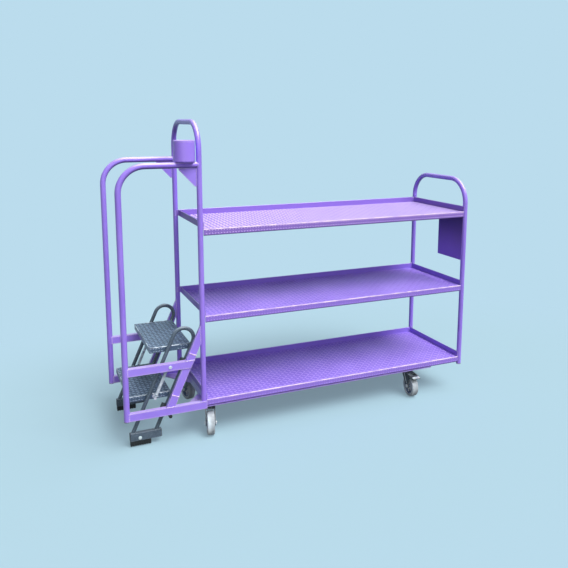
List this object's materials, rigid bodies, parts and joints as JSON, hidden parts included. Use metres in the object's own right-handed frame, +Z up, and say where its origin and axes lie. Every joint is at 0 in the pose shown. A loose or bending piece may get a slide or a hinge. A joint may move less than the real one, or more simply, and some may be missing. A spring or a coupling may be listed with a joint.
{
  "type": "order picking trolley",
  "caption": "Long shelf trolley on swivel castors with tube push hoops, handrails and a sprung step unit at one end that slides down onto the floor when stood on.",
  "frame": {"origin": "on the floor, under the middle of the trolley's outer box", "axes": "+Z up, +X along the trolley from the step end to the far end, -Y towards the front"},
  "size_m": [2.051, 0.6312, 1.654],
  "materials": {
    "purple_paint": "smooth gloss powder coat",
    "step_paint": "hammered powder coat",
    "zinc": "bright zinc plate",
    "spring_steel": "zinc plated wire",
    "tyre_rubber": "pale non-marking rubber",
    "hub_plastic": "moulded",
    "pad_rubber": "black rubber",
    "black_nylon": "moulded"
  },
  "bodies": {
    "frame": {"left_hoop": "purple_paint", "right_hoop": "purple_paint", "tool_pot": "purple_paint", "end_panel": "purple_paint", "bottom_tray": "purple_paint", "middle_tray": "purple_paint", "top_tray": "purple_paint", "cross_members": "purple_paint", "corner_gussets": "purple_paint", "tube_caps": "black_nylon", "castor_pads": "purple_paint", "castor_top_plates": "zinc", "castor_kingpins": "zinc", "castor_bolts": "zinc", "step_guides": "black_nylon", "guide_screws": "zinc", "anchor_bolts": "zinc", "upper_spring_eyes": "zinc", "handrail_gussets": "purple_paint", "mid_rails": "purple_paint", "upper_braces": "purple_paint", "lower_braces": "purple_paint", "chassis_rails": "purple_paint", "handrail_front": "purple_paint", "handrail_rear": "purple_paint", "base_rail_front": "purple_paint", "base_rail_rear": "purple_paint", "lift_spring_front": "spring_steel", "lift_spring_rear": "spring_steel"},
    "step_unit": {"upper_tread": "step_paint", "lower_tread": "step_paint", "side_frame_front": "step_paint", "side_frame_rear": "step_paint", "foot_bars": "step_paint", "foot_pad_front": "pad_rubber", "foot_pad_rear": "pad_rubber", "foot_bolts": "zinc", "stop_lugs": "step_paint", "stop_bolts": "step_paint", "spring_bolts": "zinc", "lower_spring_eyes": "zinc"},
    "fork_left_front": {"castor_fork_left_front": "zinc", "castor_axle_left_front": "zinc"},
    "wheel_left_front": {"castor_hub_left_front": "hub_plastic", "castor_tyre_left_front": "tyre_rubber"},
    "fork_left_rear": {"castor_fork_left_rear": "zinc", "castor_axle_left_rear": "zinc"},
    "wheel_left_rear": {"castor_hub_left_rear": "hub_plastic", "castor_tyre_left_rear": "tyre_rubber"},
    "fork_right_front": {"castor_fork_right_front": "zinc", "castor_axle_right_front": "zinc"},
    "wheel_right_front": {"castor_hub_right_front": "hub_plastic", "castor_tyre_right_front": "tyre_rubber"},
    "fork_right_rear": {"castor_fork_right_rear": "zinc", "castor_axle_right_rear": "zinc"},
    "wheel_right_rear": {"castor_hub_right_rear": "hub_plastic", "castor_tyre_right_rear": "tyre_rubber"},
    "pedal_front": {"brake_pedal_front": "zinc"},
    "pedal_rear": {"brake_pedal_rear": "zinc"}
  },
  "joints": [
    {"name": "step_slide", "type": "slide", "parent": "frame", "child": "step_unit", "axis": [-0.4147, 0, -0.91], "range_m": [0, 0.00659], "stiffness_N_per_m": 8000, "springref_m": -0.025, "deforming": ["lift_spring_front", "lift_spring_rear"]},
    {"name": "swivel_left_front", "type": "hinge", "parent": "frame", "child": "fork_left_front", "pos_m": [-0.5655, -0.206, 0.161], "axis": [0, 0, 1], "continuous": true},
    {"name": "roll_left_front", "type": "hinge", "parent": "fork_left_front", "child": "wheel_left_front", "pos_m": [-0.57405, -0.24303, 0.0625], "axis": [0.9744, -0.225, 0], "continuous": true},
    {"name": "swivel_left_rear", "type": "hinge", "parent": "frame", "child": "fork_left_rear", "pos_m": [-0.5655, 0.206, 0.161], "axis": [0, 0, 1], "continuous": true},
    {"name": "roll_left_rear", "type": "hinge", "parent": "fork_left_rear", "child": "wheel_left_rear", "pos_m": [-0.57405, 0.24303, 0.0625], "axis": [0.9744, 0.225, 0], "continuous": true},
    {"name": "swivel_right_front", "type": "hinge", "parent": "frame", "child": "fork_right_front", "pos_m": [0.6835, -0.206, 0.161], "axis": [0, 0, 1], "continuous": true},
    {"name": "roll_right_front", "type": "hinge", "parent": "fork_right_front", "child": "wheel_right_front", "pos_m": [0.68019, -0.24386, 0.0625], "axis": [0.9962, -0.0872, 0], "continuous": true},
    {"name": "swivel_right_rear", "type": "hinge", "parent": "frame", "child": "fork_right_rear", "pos_m": [0.6835, 0.206, 0.161], "axis": [0, 0, 1], "continuous": true},
    {"name": "roll_right_rear", "type": "hinge", "parent": "fork_right_rear", "child": "wheel_right_rear", "pos_m": [0.68019, 0.24386, 0.0625], "axis": [0.9962, 0.0872, 0], "continuous": true},
    {"name": "brake_front", "type": "hinge", "parent": "fork_right_front", "child": "pedal_front", "pos_m": [0.67757, -0.27374, 0.129], "axis": [0.9962, -0.0872, 0], "range_deg": [0, 10]},
    {"name": "brake_rear", "type": "hinge", "parent": "fork_right_rear", "child": "pedal_rear", "pos_m": [0.67757, 0.27374, 0.129], "axis": [-0.9962, -0.0872, 0], "range_deg": [0, 10]}
  ]
}
